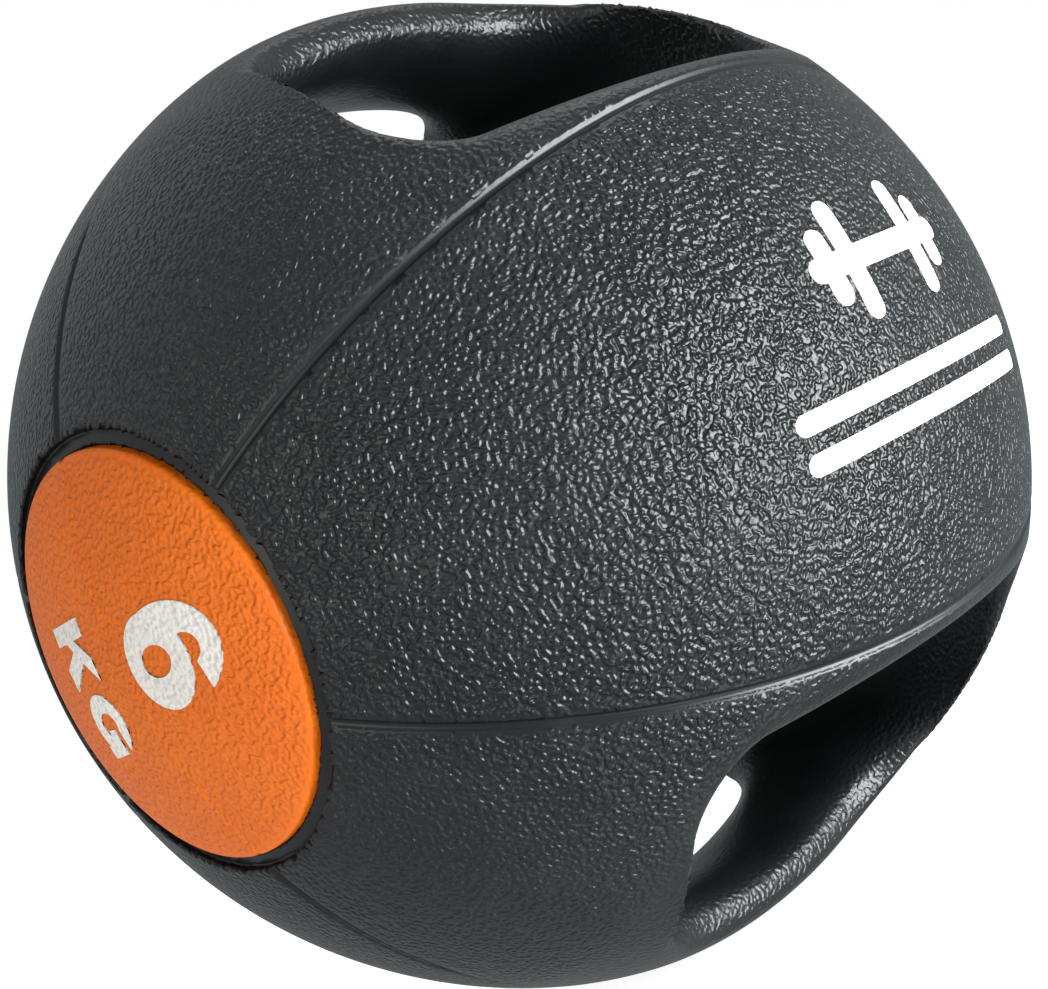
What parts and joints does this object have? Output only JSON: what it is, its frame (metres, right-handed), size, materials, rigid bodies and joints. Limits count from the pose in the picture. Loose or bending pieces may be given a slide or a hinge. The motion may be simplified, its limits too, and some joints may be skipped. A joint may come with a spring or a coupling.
{
  "type": "medicine ball",
  "caption": "Heavy round exercise ball of pebbled rubber with a moulded grip over a finger slot at top and bottom, and coloured discs at its poles.",
  "frame": {"origin": "centre of the ball, half way between the two grips and half way between the two end discs", "axes": "+Z through the middle of the top grip, +X from the near end disc at -X to the far one, -Y through the front panel that carries the pictogram; the mould parted on the plane y = 0"},
  "size_m": [0.274, 0.274, 0.2696],
  "materials": {
    "body_rubber": "black moulded rubber with a pebble grain, satin",
    "disc_rubber": "orange moulded rubber with a pebble grain, satin",
    "print_ink": "white screen-printed ink",
    "plug_rubber": "soft dark grey rubber, matt"
  },
  "bodies": {
    "root": {"front_shell": "body_rubber", "rear_shell": "body_rubber", "left_end_disc": "disc_rubber", "right_end_disc": "disc_rubber", "left_weight_mark": "print_ink", "right_weight_mark": "print_ink", "front_mark": "print_ink", "filler_plug": "plug_rubber"}
  },
  "joints": []
}
